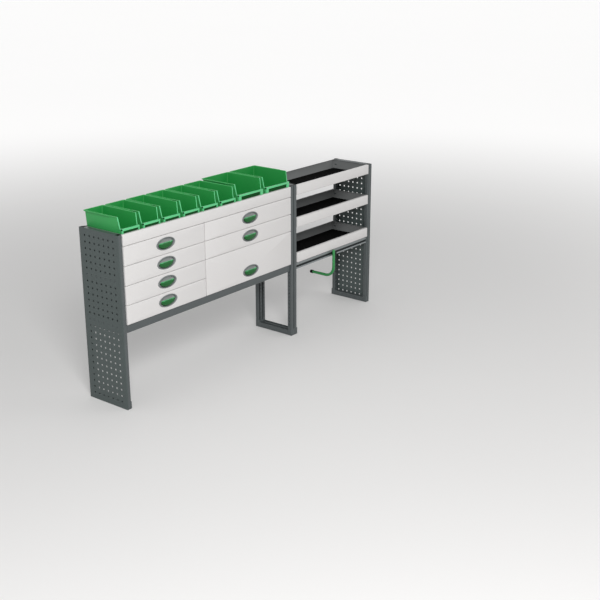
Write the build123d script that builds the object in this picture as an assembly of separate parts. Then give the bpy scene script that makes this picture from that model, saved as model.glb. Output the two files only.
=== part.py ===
from build123d import *
import math
import os

# Van racking: a drawer unit under a row of storage bins, joined to a three-shelf unit.
# X runs along the rack, -Y is the open front, +Y the wall side and +Z is up.
# The origin is on the floor, at the middle of the footprint of the side frames.

# Overall sizes, in millimetres.
rack_height = 1030.0
rack_depth = 316.0
drawer_bay = 1463.5
shelf_bay = 816.5

# Steel side frames.
post_width = 32.0
post_depth = 32.0
post_sheet = 2.0
post_face = 22.0
rebate_depth = 6.0
sill_height = 35.0
foot_height = 46.0
tie_height = 30.0
tie_drop = 9.0
floor_bolt_spacing = 200.0
floor_bolt_radius = 4.5
wall_bolt_radius = 4.5
wall_bolt_drop = 130.0

# Perforated side panels.
panel_sheet = 1.5
panel_return = 4.0
panel_bend = 1.0
hole_side = 10.0
hole_pitch = 38.0
hole_edge = 38.0

# Longitudinal rails under the drawers and the lowest shelf.
rail_level = 455.0
rail_height = 48.0
rail_depth = 20.0
rail_sheet = 2.0
rail_setback = 11.0
rail_crown = 3.0
slot_opening = 14.0
slot_drop = 31.0
slot_cavity_height = 22.0
slot_cavity_depth = 7.0
slot_lip = 3.0

# Drawer cabinet.
cabinet_sheet = 1.5
cabinet_back_gap = 6.0
front_gap = 3.0
column_gap = 6.0
drawer_rows = 4
left_front_width = 641.0

# Drawers.
front_depth = 22.0
front_sheet = 1.5
front_edge = 1.2
front_return = 18.0
front_side_gap = 2.0
box_sheet = 1.2
box_floor_gap = 8.0
box_top_gap = 14.0
box_back_gap = 14.0
box_hem = 6.0

# Drawer runners: a guide channel on the cabinet and a slide bar on the drawer.
runner_width = 12.5
runner_height = 35.0
runner_sheet = 1.5
runner_reach = 8.5
runner_lip = 5.0
runner_play = 0.4
runner_length = 270.0
runner_rise = 28.0

# Oval pull handles.
handle_lift = 5.0
bezel_half_width = 74.5
bezel_half_height = 37.0
bezel_proud = 3.0
bezel_edge = 1.5
oval_sides = 16
cup_half_width = 66.0
cup_half_height = 32.0
cup_wall = 2.0
cup_depth = 19.0
cup_clearance = 0.4
grip_half_width = 55.0
grip_half_height = 28.5
grip_top = 9.5
grip_bulge = 9.0
grip_top_proud = 3.0
grip_foot_proud = 1.0
grip_foot_depth = 4.0
grip_low_depth_share = 0.7
grip_low_rise_share = 0.2
grip_belly_rise_share = 0.5
grip_high_depth_share = 0.8
grip_high_rise_share = 0.85
grip_lug_width = 6.0
grip_lug_place = 36.0
grip_lug_half_height = 4.5
pivot_depth = 6.0
pivot_drop = 14.0
pivot_radius = 2.5
pivot_play = 0.3
pivot_sides = 8
pivot_half_length = 61.0

# Sheet trays that carry the bins and the rubber mats.
tray_sheet = 1.5
tray_height = 66.0
tray_hem = 8.0
tray_back_gap = 2.0
lip_depth = 16.0
lip_sheet = 1.5
lip_edge = 1.5
lip_side_gap = 1.5
slot_hole_length = 20.0
slot_hole_width = 8.0
slot_hole_inset = 24.0
mat_thickness = 3.0
mat_margin = 2.0
tray_top_gap = 2.0
middle_shelf_share = 0.525
shelf_names = ("lower", "middle", "top")

# Storage bins.
bin_count_small = 6
bin_count_large = 2
bin_gap = 18.4
bin_side_start = 2.5
bin_rim = 4.0
bin_rim_height = 5.0
bin_wall = 2.0
bin_front_clearance = 2.5
bin_back_clearance = 5.0
bin_back_taper = 3.0
bin_mouth_foot = 7.0
bin_mouth_setback = 18.0
bin_ledge_reach = 5.5
bin_ledge_start = 75.0
small_rim_width = 141.0
small_base_width = 110.0
small_bin_height = 157.0
small_front_height = 93.0
large_rim_width = 241.5
large_base_width = 211.0
large_bin_height = 166.0
large_front_height = 101.0
label_depth = 13.0
label_bar_height = 8.0
label_bar_depth = 5.0
label_lift = 2.0
small_label_width = 126.0
small_label_tab = 6.0
large_label_width = 226.0
large_label_tab = 22.0

# Swan-neck hook on the grooved rail.
hook_place = 390.0
hook_radius = 10.0
hook_top = 505.0
hook_arm_level = 311.0
hook_bend_radius = 68.0
hook_arm_end = 176.0
hook_standoff = 24.0
hook_end_chamfer = 5.0
hook_sides = 12
hook_bend_steps = 6
cap_length = 22.0
cap_cover = 10.0
cap_radius = 12.0
bar_play = 0.2
cap_chamfer = 4.0
clamp_width = 36.0
clamp_height = 44.0
clamp_depth = 17.0
clamp_top_gap = 16.0
clamp_corner = 10.0
clamp_edge = 3.0
clamp_play = 0.4
clamp_foot_width = 18.0

# How far a cutting shape runs past the face that it opens.
overrun = 5.0
# How far two touching parts of one solid reach into each other.
weld = 0.5

# Stations along the rack.
rack_length = 2 * panel_sheet + 4 * post_width + drawer_bay + shelf_bay
x_left = -rack_length / 2
x_left_frame = x_left + panel_sheet
x_drawer_bay = x_left_frame + post_width
x_left_centre = x_drawer_bay + drawer_bay
x_right_centre = x_left_centre + post_width
x_shelf_bay = x_right_centre + post_width
x_right_frame = x_shelf_bay + shelf_bay
x_right = x_right_frame + post_width + panel_sheet

# Stations from the front to the wall, and heights.
y_front = -rack_depth / 2
y_back = rack_depth / 2
rail_top = rail_level + rail_height
tray_level = rack_height - tray_height - tray_top_gap
middle_shelf_level = rail_top + (tray_level - rail_top) * middle_shelf_share
shelf_levels = (rail_top, middle_shelf_level, tray_level)
middle_tie_level = middle_shelf_level - tie_drop
wall_bolt_level = rack_height - wall_bolt_drop
y_front_back = y_front + front_depth
drawer_level = rail_top + front_gap
drawer_pitch = (tray_level - drawer_level) / drawer_rows
handle_rise = (drawer_pitch - front_gap) / 2 + handle_lift
x_fronts = x_drawer_bay + front_side_gap
x_fronts_end = x_left_centre - front_side_gap
x_seam = x_fronts + left_front_width + column_gap / 2
y_cabinet_back = y_back - cabinet_back_gap
y_tray = y_front + lip_depth
y_tray_back = y_back - tray_back_gap
x_hook = x_shelf_bay + hook_place
y_hook = y_front + rail_setback - hook_standoff


def block(x0, x1, y0, y1, z0, z1):
    """A block between two corners."""
    middle = Pos((x0 + x1) / 2, (y0 + y1) / 2, (z0 + z1) / 2)
    return middle * Box(abs(x1 - x0), abs(y1 - y0), abs(z1 - z0))


def prism_back(points, y0, length):
    """An outline of (x, z) points, drawn from front to back."""
    corners = [(x, y0, z) for x, z in points]
    return extrude(make_face(Polyline(*corners, close=True)), amount=length, dir=(0, 1, 0))


def prism_along(points, x0, length):
    """An outline of (y, z) points, drawn along the rack."""
    corners = [(x0, y, z) for y, z in points]
    return extrude(make_face(Polyline(*corners, close=True)), amount=length, dir=(1, 0, 0))


def channel_points(width, depth, sheet):
    """A folded channel: its web on the first axis and its flanges up the second."""
    return [
        (0, 0),
        (width, 0),
        (width, depth),
        (width - sheet, depth),
        (width - sheet, sheet),
        (sheet, sheet),
        (sheet, depth),
        (0, depth),
    ]


def folded_pan(x0, x1, y0, y1, z0, z1, sheet):
    """A sheet pan, open on top."""
    outside = block(x0, x1, y0, y1, z0, z1)
    inside = block(x0 + sheet, x1 - sheet, y0 + sheet, y1 - sheet, z0 + sheet, z1 + overrun)
    return outside - inside


def oval_block(half_width, half_height, x, z, y0, y1):
    """A many-sided oval block whose axis runs from front to back."""
    turns = [2 * math.pi * side / oval_sides for side in range(oval_sides)]
    points = [(x + half_width * math.cos(turn), z + half_height * math.sin(turn)) for turn in turns]
    return prism_back(points, y0, y1 - y0)


def pin_along_x(radius, x0, x1, y, z):
    """A many-sided pin along the rack."""
    return Pos(x0, y, z) * extrude(Plane.YZ * RegularPolygon(radius, pivot_sides), amount=x1 - x0)


# Side frames: two folded posts on feet and a sill, tied at three levels.

def post_section():
    """The post in plan: a flat face, a rebate beside it, and a flange on each side."""
    points = [
        (0, post_depth),
        (0, 0),
        (post_face, 0),
        (post_face, rebate_depth),
        (post_width, rebate_depth),
        (post_width, post_depth),
        (post_width - post_sheet, post_depth),
        (post_width - post_sheet, rebate_depth + post_sheet),
        (post_face - post_sheet, rebate_depth + post_sheet),
        (post_face - post_sheet, post_sheet),
        (post_sheet, post_sheet),
        (post_sheet, post_depth),
    ]
    return make_face(Polyline(*points, close=True))


def post(x0, y0, rebate_side, facing):
    """A post with its rebate to the right (1) or left (-1) and its face to the front (1) or wall (-1)."""
    section = post_section()
    if rebate_side < 0:
        section = Pos(post_width, 0, 0) * mirror(section, about=Plane.YZ)
    if facing < 0:
        section = Pos(0, post_depth, 0) * mirror(section, about=Plane.XZ)
    return extrude(Pos(x0, y0, 0) * section, amount=rack_height, dir=(0, 0, 1))


def tie(x0, z0, height):
    tube = block(
        x0, x0 + post_width,
        y_front + post_depth, y_back - post_depth,
        z0, z0 + height,
    )
    hollow = block(
        x0 + post_sheet, x0 + post_width - post_sheet,
        y_front + post_depth - overrun, y_back - post_depth + overrun,
        z0 + post_sheet, z0 + height - post_sheet,
    )
    return tube - hollow


def wall_bolt_place(x0, rebate_side):
    """The wall bolts go through the middle of the rear post's flat face."""
    if rebate_side < 0:
        return x0 + post_width - post_face / 2
    return x0 + post_face / 2


def side_frame(x0, rebate_side):
    frame = folded_pan(x0, x0 + post_width, y_front, y_back, 0, sill_height, post_sheet)
    for y0, facing in ((y_front, 1), (y_back - post_depth, -1)):
        frame += post(x0, y0, rebate_side, facing)
        frame += folded_pan(x0, x0 + post_width, y0, y0 + post_depth, 0, foot_height, post_sheet)
    frame += tie(x0, rail_level, rail_height)
    frame += tie(x0, middle_tie_level, tie_height)
    frame += tie(x0, rack_height - tie_height, tie_height)
    for side in (-1, 1):
        floor_hole = Cylinder(floor_bolt_radius, post_sheet + overrun)
        frame -= Pos(x0 + post_width / 2, side * floor_bolt_spacing / 2, post_sheet / 2) * floor_hole
    wall_hole = Rot(90, 0, 0) * Cylinder(wall_bolt_radius, post_sheet + overrun)
    y_web = y_back - post_sheet / 2
    return frame - Pos(wall_bolt_place(x0, rebate_side), y_web, wall_bolt_level) * wall_hole


# Perforated side panels with folded edges round the posts.

def hole_count(span):
    return int((span - 2 * hole_edge) / hole_pitch) + 1


def side_panel(x_outer, inward):
    sheet = Rectangle(rack_depth + 2 * panel_sheet, rack_height)
    columns = hole_count(rack_depth)
    rows = hole_count(rack_height)
    holes = GridLocations(hole_pitch, hole_pitch, columns, rows) * Rectangle(hole_side, hole_side)
    plate = extrude(sheet - holes, amount=panel_sheet)
    panel = Pos(x_outer, 0, rack_height / 2) * (Plane.YZ * plate)
    if inward < 0:
        panel = Pos(-panel_sheet, 0, 0) * panel
    x_return = x_outer + inward * panel_return
    x_start = x_outer + inward * panel_sheet / 2
    panel += block(x_start, x_return, y_front - panel_sheet, y_front, 0, rack_height)
    panel += block(x_start, x_return, y_back, y_back + panel_sheet, 0, rack_height)
    corners = panel.edges().filter_by(Axis.Z).filter_by(
        lambda edge: abs(edge.center().X - x_outer) < panel_sheet / 4
        and abs(edge.center().Y) > rack_depth / 2
    )
    return chamfer(corners, panel_bend)


# Rails.

def plain_rail(x0, x1, y0, facing):
    """A folded rail whose web faces the front (1) or the wall (-1)."""
    points = channel_points(rail_height, rail_depth, rail_sheet)
    outline = [(y0 + facing * depth, rail_level + height) for height, depth in points]
    return prism_along(outline, x0, x1 - x0)


def hook_rail(x0, x1):
    """An extruded rail with a crowned band above a T-slot, for hooks."""
    y0 = y_front + rail_setback
    y1 = y0 + rail_depth
    slot_middle = rail_top - slot_drop
    slot_low = slot_middle - slot_opening / 2
    slot_high = slot_middle + slot_opening / 2
    cavity_low = slot_middle - slot_cavity_height / 2
    cavity_high = slot_middle + slot_cavity_height / 2
    y_cavity = y0 + slot_lip + slot_cavity_depth
    front = Polyline(
        (x0, y1, rail_level),
        (x0, y0, rail_level),
        (x0, y0, slot_low),
        (x0, y0 + slot_lip, slot_low),
        (x0, y0 + slot_lip, cavity_low),
        (x0, y_cavity, cavity_low),
        (x0, y_cavity, cavity_high),
        (x0, y0 + rail_crown, cavity_high),
        (x0, y0 + rail_crown, slot_high),
    )
    crown = ThreePointArc(
        (x0, y0 + rail_crown, slot_high),
        (x0, y0, (slot_high + rail_top) / 2),
        (x0, y0 + rail_crown, rail_top),
    )
    back = Polyline((x0, y0 + rail_crown, rail_top), (x0, y1, rail_top), (x0, y1, rail_level))
    body = extrude(make_face([front, crown, back]), amount=x1 - x0, dir=(1, 0, 0))
    return body - block(
        x0 - overrun, x1 + overrun,
        y_cavity + rail_sheet, y1 - rail_sheet,
        rail_level + rail_sheet, rail_top - rail_sheet,
    )


# Drawer cabinet with its divider, and the guide channels of the runners.

def drawer_cabinet():
    y0 = y_front_back + front_gap
    outside = block(x_drawer_bay, x_left_centre, y0, y_cabinet_back, rail_top, tray_level)
    inside = block(
        x_drawer_bay + cabinet_sheet, x_left_centre - cabinet_sheet,
        y0 - overrun, y_cabinet_back - cabinet_sheet,
        rail_top + cabinet_sheet, tray_level - cabinet_sheet,
    )
    divider = block(
        x_seam - cabinet_sheet / 2, x_seam + cabinet_sheet / 2,
        y0, y_cabinet_back - cabinet_sheet,
        rail_top + cabinet_sheet, tray_level - cabinet_sheet,
    )
    return [outside - inside, divider]


def guide_channel(x_wall, inward, z_middle):
    """A C-shaped guide on the wall at x_wall, opening towards the drawer."""
    half = runner_height / 2
    y0 = y_front_back + front_gap
    outline = [
        (0, -half),
        (runner_reach, -half),
        (runner_reach, -half + runner_sheet + runner_lip),
        (runner_reach - runner_sheet, -half + runner_sheet + runner_lip),
        (runner_reach - runner_sheet, -half + runner_sheet),
        (runner_sheet, -half + runner_sheet),
        (runner_sheet, half - runner_sheet),
        (runner_reach - runner_sheet, half - runner_sheet),
        (runner_reach - runner_sheet, half - runner_sheet - runner_lip),
        (runner_reach, half - runner_sheet - runner_lip),
        (runner_reach, half),
        (0, half),
    ]
    corners = [(x_wall + inward * x, y0, z_middle + z) for x, z in outline]
    return extrude(make_face(Polyline(*corners, close=True)), amount=runner_length, dir=(0, 1, 0))


def slide_bar(x_wall, inward, z_middle):
    """The bar on the drawer's side that rides in the guide channel."""
    y0 = y_front_back + front_gap
    head = runner_height / 2 - runner_sheet - runner_play
    neck = head - runner_lip
    inner = runner_sheet + runner_play
    shoulder = runner_reach - runner_sheet - runner_play
    outline = [
        (inner, -head),
        (shoulder, -head),
        (shoulder, -neck),
        (runner_width, -neck),
        (runner_width, neck),
        (shoulder, neck),
        (shoulder, head),
        (inner, head),
    ]
    corners = [(x_wall + inward * x, y0, z_middle + z) for x, z in outline]
    return extrude(make_face(Polyline(*corners, close=True)), amount=runner_length, dir=(0, 1, 0))


def drawer_walls(x0):
    """The two cabinet walls on either side of a drawer that starts at x0."""
    if x0 < x_seam:
        return x_drawer_bay + cabinet_sheet, x_seam - cabinet_sheet / 2
    return x_seam + cabinet_sheet / 2, x_left_centre - cabinet_sheet


def runner_level(z0):
    return z0 + box_floor_gap + runner_rise


def cabinet_runners():
    guides = []
    for x0, x1, z0, z1 in drawer_places():
        wall_left, wall_right = drawer_walls(x0)
        guides.append(guide_channel(wall_left, 1, runner_level(z0)))
        guides.append(guide_channel(wall_right, -1, runner_level(z0)))
    return guides


# Drawers: four small ones on the left, two small and one double-height on the right.

def drawer_places():
    """Each drawer front's x0, x1, z0 and z1, from the top left downwards."""
    columns = [
        (x_fronts, x_seam - column_gap / 2, (1, 1, 1, 1)),
        (x_seam + column_gap / 2, x_fronts_end, (1, 1, 2)),
    ]
    places = []
    for x0, x1, heights in columns:
        z1 = tray_level
        for rows in heights:
            z0 = z1 - rows * drawer_pitch
            places.append((x0, x1, z0, z1 - front_gap))
            z1 = z0
    return places


def handle_place(x0, x1, z0):
    return (x0 + x1) / 2, z0 + handle_rise


def drawer_front(x0, x1, z0, z1):
    """A folded front with returns that meet the box, and an oval cut-out for the handle."""
    pan = block(x0, x1, y_front, y_front_back, z0, z1)
    pan = chamfer(pan.faces().sort_by(Axis.Y)[0].edges(), front_edge)
    pan -= block(
        x0 + front_sheet, x1 - front_sheet,
        y_front + front_sheet, y_front_back - front_sheet,
        z0 + front_sheet, z1 - front_sheet,
    )
    pan -= block(
        x0 + front_return, x1 - front_return,
        y_front_back - front_sheet - overrun, y_front_back + overrun,
        z0 + front_return, z1 - front_return,
    )
    x, z = handle_place(x0, x1, z0)
    half_width = cup_half_width + cup_wall + cup_clearance
    half_height = cup_half_height + cup_wall + cup_clearance
    return pan - oval_block(half_width, half_height, x, z, y_front - overrun, y_front + cup_depth)


def drawer_box(x0, z0, z1):
    """A sheet box with hemmed sides, and the slide bars on its sides."""
    wall_left, wall_right = drawer_walls(x0)
    bx0 = wall_left + runner_width
    bx1 = wall_right - runner_width
    by1 = y_cabinet_back - box_back_gap
    bz0 = z0 + box_floor_gap
    bz1 = z1 - box_top_gap
    box = folded_pan(bx0, bx1, y_front_back, by1, bz0, bz1, box_sheet)
    for x_hem in (bx0, bx1 - box_hem):
        box += block(x_hem, x_hem + box_hem, y_front_back, by1, bz1 - box_sheet, bz1)
    bars = [slide_bar(wall_left, 1, runner_level(z0)), slide_bar(wall_right, -1, runner_level(z0))]
    return [box] + bars


def handle_bezel(x, z):
    """An oval cup with a sloping flange, let into the drawer front."""
    flange = oval_block(bezel_half_width, bezel_half_height, x, z, y_front - bezel_proud, y_front)
    rim = flange.faces().sort_by(Axis.Y)[0].edges()
    flange = chamfer(rim, bezel_edge)
    barrel = oval_block(
        cup_half_width + cup_wall, cup_half_height + cup_wall, x, z, y_front - weld, y_front + cup_depth
    )
    cavity = oval_block(
        cup_half_width, cup_half_height, x, z,
        y_front - bezel_proud - overrun, y_front + cup_depth - cup_wall,
    )
    reach = pivot_half_length + overrun
    pivot_bore = pin_along_x(
        pivot_radius + pivot_play, x - reach, x + reach, y_front + pivot_depth, z - pivot_drop
    )
    return flange + barrel - cavity - pivot_bore


def handle_grip(x, z):
    """A bulging pull lever that turns on two stub pivots near its foot."""
    foot = z - grip_half_height
    top = z + grip_top
    rise = top - foot
    outline = [
        (y_front - grip_foot_proud, foot),
        (y_front - grip_bulge * grip_low_depth_share, foot + rise * grip_low_rise_share),
        (y_front - grip_bulge, foot + rise * grip_belly_rise_share),
        (y_front - grip_bulge * grip_high_depth_share, foot + rise * grip_high_rise_share),
        (y_front - grip_top_proud, top),
        (y_front, top),
        (y_front + grip_foot_depth, foot),
    ]
    lever = prism_along(outline, x - grip_half_width, 2 * grip_half_width)
    lever &= oval_block(
        grip_half_width, grip_half_height, x, z, y_front - grip_bulge - overrun, y_front + cup_depth
    )
    z_pivot = z - pivot_drop
    y_pivot = y_front + pivot_depth
    for side in (-1, 1):
        lug_in = x + side * grip_lug_place
        lug_out = lug_in + side * grip_lug_width
        lever += block(
            lug_in, lug_out,
            y_front, y_pivot + grip_lug_half_height,
            z_pivot - grip_lug_half_height, z_pivot + grip_lug_half_height,
        )
        ends = sorted((lug_out - side * weld, x + side * pivot_half_length))
        lever += pin_along_x(pivot_radius, ends[0], ends[1], y_pivot, z_pivot)
    return lever


# Sheet trays with white front lips and rubber mats.

def sheet_tray(x0, x1, z0):
    tray = folded_pan(x0, x1, y_tray, y_tray_back, z0, z0 + tray_height, tray_sheet)
    z1 = z0 + tray_height
    for x_hem in (x0, x1 - tray_hem):
        tray += block(x_hem, x_hem + tray_hem, y_tray, y_tray_back, z1 - tray_sheet, z1)
    tray += block(x0, x1, y_tray_back - tray_hem, y_tray_back, z1 - tray_sheet, z1)
    y_slot = y_tray_back - slot_hole_inset
    z_slot = z0 + tray_height / 2
    return tray - block(
        x0 - overrun, x1 + overrun,
        y_slot - slot_hole_length / 2, y_slot + slot_hole_length / 2,
        z_slot - slot_hole_width / 2, z_slot + slot_hole_width / 2,
    )


def front_lip(x0, x1, z0):
    """A folded lip that covers the tray's front edge."""
    outside = block(
        x0 + lip_side_gap, x1 - lip_side_gap, y_front, y_front + lip_depth, z0, z0 + tray_height
    )
    face_edges = outside.faces().sort_by(Axis.Y)[0].edges().filter_by(Axis.X)
    outside = chamfer(face_edges, lip_edge)
    inside = block(
        x0 - overrun, x1 + overrun,
        y_front + lip_sheet, y_front + lip_depth + overrun,
        z0 + lip_sheet, z0 + tray_height - lip_sheet,
    )
    return outside - inside


def shelf_mats():
    mats = []
    for level in shelf_levels:
        mats.append(block(
            x_shelf_bay + tray_sheet + mat_margin, x_right_frame - tray_sheet - mat_margin,
            y_tray + tray_sheet + mat_margin, y_tray_back - tray_sheet - mat_margin,
            level + tray_sheet, level + tray_sheet + mat_thickness,
        ))
    return mats


# Open-front storage bins.

def bin_shape(widths, depths, z0, z1):
    """A tapering block: (half width at z0, at z1), and (front, back at z0, back at z1)."""
    front_view = [(-widths[0], z0), (widths[0], z0), (widths[1], z1), (-widths[1], z1)]
    side_view = [(depths[0], z0), (depths[1], z0), (depths[2], z1), (depths[0], z1)]
    length = depths[2] - depths[0] + 2 * overrun
    return prism_back(front_view, depths[0] - overrun, length) & prism_along(
        side_view, -widths[1], 2 * widths[1]
    )


def storage_bin(rim_width, base_width, height, front_height, label_width, label_tab):
    """One bin, centred on X, with its foot at height zero."""
    y0 = y_tray + tray_sheet + bin_front_clearance
    y1 = y_tray_back - tray_sheet - bin_back_clearance
    top_half = rim_width / 2 - bin_rim
    side_slope = (top_half - base_width / 2) / height
    back_slope = bin_back_taper / height
    shell = bin_shape((base_width / 2, top_half), (y0, y1 - bin_back_taper, y1), 0, height)
    z_open = height + overrun
    cavity = bin_shape(
        (base_width / 2 - bin_wall + side_slope * bin_wall, top_half - bin_wall + side_slope * overrun),
        (
            y0 + bin_wall,
            y1 - bin_back_taper - bin_wall + back_slope * bin_wall,
            y1 - bin_wall + back_slope * overrun,
        ),
        bin_wall, z_open,
    )
    mouth_top = y0 + bin_mouth_setback
    mouth_low = y0 + bin_mouth_foot
    mouth = [
        (y0 - overrun, front_height),
        (mouth_low, front_height),
        (mouth_top, height),
        (mouth_top, z_open),
        (y0 - overrun, z_open),
    ]
    shell -= prism_along(mouth, -rim_width, 2 * rim_width)
    rim = bin_rim_band(rim_width, base_width, height, front_height, y0, y1)
    holder = label_holder(y0, front_height, label_width, label_tab)
    return shell + rim - cavity + holder


def bin_rim_band(rim_width, base_width, height, front_height, y0, y1):
    """The bead along the top and down the mouth, with wider stacking ledges over the rear part."""
    mouth_top = y0 + bin_mouth_setback
    mouth_low = y0 + bin_mouth_foot
    band = [
        (mouth_low, front_height),
        (mouth_top, height),
        (y1 + bin_rim, height),
        (y1 + bin_rim, height - bin_rim_height),
        (mouth_top + bin_rim, height - bin_rim_height),
        (mouth_low + bin_rim, front_height),
    ]
    spread = [
        (-base_width / 2 - bin_rim, 0),
        (base_width / 2 + bin_rim, 0),
        (rim_width / 2, height),
        (-rim_width / 2, height),
    ]
    rim = prism_along(band, -rim_width / 2, rim_width) & prism_back(spread, y0, y1 - y0 + 2 * bin_rim)
    ledge = rim_width / 2 + bin_ledge_reach
    return rim + block(
        -ledge, ledge, y0 + bin_ledge_start, y1 + bin_rim, height - bin_rim_height, height
    )


def label_holder(y0, front_height, width, tab):
    """The pocket on the bin's front: a bar across the top and a tab at each end."""
    low = tray_height - tray_sheet + label_lift
    half = width / 2
    bar = block(
        -half, half, y0 - label_depth, y0 + weld, front_height - label_bar_height, front_height
    )
    bar -= block(
        -half + tab, half - tab,
        y0 - label_depth - overrun, y0 - label_depth + label_bar_depth,
        front_height - label_bar_height - overrun, front_height - label_bar_height / 2,
    )
    for side in (-1, 1):
        x_tab = min(side * half, side * (half - tab))
        bar += block(x_tab, x_tab + tab, y0 - label_depth, y0 + weld, low, front_height)
    return bar


def bin_places():
    """Each bin's centre along the rack and its sizes, from the left."""
    small = (
        small_rim_width, small_base_width, small_bin_height, small_front_height,
        small_label_width, small_label_tab,
    )
    large = (
        large_rim_width, large_base_width, large_bin_height, large_front_height,
        large_label_width, large_label_tab,
    )
    sizes = [small] * bin_count_small + [large] * bin_count_large
    x = x_drawer_bay + bin_side_start
    places = []
    for size in sizes:
        places.append((x + size[0] / 2, size))
        x += size[0] + bin_gap
    return places


# The hook: a bent bar in a clamp on the grooved rail.

def hook_section(radius):
    return RegularPolygon(radius, hook_sides)


def hook_bar():
    """The bar is bent through a right angle, in short straight steps."""
    y_centre = y_hook + hook_bend_radius
    z_centre = hook_arm_level + hook_bend_radius
    points = [(x_hook, y_hook, hook_top)]
    for step in range(hook_bend_steps + 1):
        turn = math.pi / 2 * step / hook_bend_steps
        y = y_centre - hook_bend_radius * math.cos(turn)
        z = z_centre - hook_bend_radius * math.sin(turn)
        points.append((x_hook, y, z))
    points.append((x_hook, y_front + hook_arm_end, hook_arm_level))
    section = Pos(x_hook, y_hook, hook_top) * hook_section(hook_radius)
    bar = sweep(section, path=Polyline(*points), transition=Transition.RIGHT)
    return chamfer(bar.faces().sort_by(Axis.Z)[-1].edges(), hook_end_chamfer)


def hook_cap():
    """A push-on cap over the end of the arm."""
    y_end = y_front + hook_arm_end
    y_cap = y_end - cap_cover
    start = Pos(x_hook, y_cap, hook_arm_level) * Rot(-90, 0, 0)
    cap = start * extrude(hook_section(cap_radius), amount=cap_length)
    cap = chamfer(cap.faces().sort_by(Axis.Y)[-1].edges(), cap_chamfer)
    return cap - start * Pos(0, 0, -overrun) * extrude(
        hook_section(hook_radius + bar_play), amount=overrun + cap_cover
    )


def hook_clamp():
    """A block that grips the bar and runs in the rail's slot on a T-shaped foot."""
    y_face = y_front + rail_setback
    z1 = rail_top - clamp_top_gap
    z0 = z1 - clamp_height
    x1 = x_hook + hook_radius + clamp_width
    body = block(x_hook, x1, y_face - clamp_play - clamp_depth, y_face - clamp_play, z0, z1)
    body = chamfer(body.edges().filter_by(Axis.Y).group_by(Axis.X)[-1], clamp_corner)
    body = chamfer(body.faces().sort_by(Axis.Y)[0].edges().group_by(Axis.X)[-1], clamp_edge)
    z_slot = rail_top - slot_drop
    x_foot = x_hook + hook_radius + clamp_width / 2
    half_neck = slot_opening / 2 - clamp_play
    half_foot = slot_cavity_height / 2 - clamp_play
    neck = block(
        x_foot - clamp_foot_width / 2, x_foot + clamp_foot_width / 2,
        y_face - clamp_play - weld, y_face + slot_lip + clamp_play + weld,
        z_slot - half_neck, z_slot + half_neck,
    )
    foot = block(
        x_foot - clamp_foot_width / 2, x_foot + clamp_foot_width / 2,
        y_face + slot_lip + clamp_play, y_face + slot_lip + slot_cavity_depth - clamp_play,
        z_slot - half_foot, z_slot + half_foot,
    )
    groove = extrude(hook_section(hook_radius + bar_play), amount=clamp_height + 2 * overrun)
    return body + neck + foot - Pos(x_hook, y_hook, z0 - overrun) * groove


# Every named piece of the rack.

def pieces():
    named = {
        "left_frame": side_frame(x_left_frame, 1),
        "left_centre_frame": side_frame(x_left_centre, 1),
        "right_centre_frame": side_frame(x_right_centre, 1),
        "right_frame": side_frame(x_right_frame, -1),
        "left_side_panel": side_panel(x_left, 1),
        "right_side_panel": side_panel(x_right, -1),
        "left_front_rail": plain_rail(x_drawer_bay, x_left_centre, y_front + rail_setback, 1),
        "hook_rail": hook_rail(x_shelf_bay, x_right_frame),
        "rear_rails": [
            plain_rail(x_drawer_bay, x_left_centre, y_back - rail_setback, -1),
            plain_rail(x_shelf_bay, x_right_frame, y_back - rail_setback, -1),
        ],
        "drawer_cabinet": drawer_cabinet(),
        "cabinet_runners": cabinet_runners(),
        "bin_tray": sheet_tray(x_drawer_bay, x_left_centre, tray_level),
        "bin_tray_fascia": front_lip(x_drawer_bay, x_left_centre, tray_level),
        "shelf_mats": shelf_mats(),
        "hook_bar": hook_bar(),
        "hook_cap": hook_cap(),
        "hook_clamp": hook_clamp(),
    }
    for name, level in zip(shelf_names, shelf_levels):
        named[f"{name}_shelf_tray"] = sheet_tray(x_shelf_bay, x_right_frame, level)
        named[f"{name}_shelf_lip"] = front_lip(x_shelf_bay, x_right_frame, level)
    for number, (x0, x1, z0, z1) in enumerate(drawer_places(), start=1):
        x, z = handle_place(x0, x1, z0)
        named[f"drawer_{number}_front"] = drawer_front(x0, x1, z0, z1)
        named[f"drawer_{number}_box"] = drawer_box(x0, z0, z1)
        named[f"drawer_{number}_bezel"] = handle_bezel(x, z)
        named[f"drawer_{number}_grip"] = handle_grip(x, z)
    for number, (x, size) in enumerate(bin_places(), start=1):
        named[f"bin_{number}"] = Pos(x, 0, tray_level + tray_sheet) * storage_bin(*size)
    return named


def write_pieces(named):
    os.makedirs("parts", exist_ok=True)
    for name, shape in named.items():
        if isinstance(shape, list):
            shape = Compound(children=shape)
        export_step(shape, f"parts/{name}.step")


write_pieces(pieces())
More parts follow.
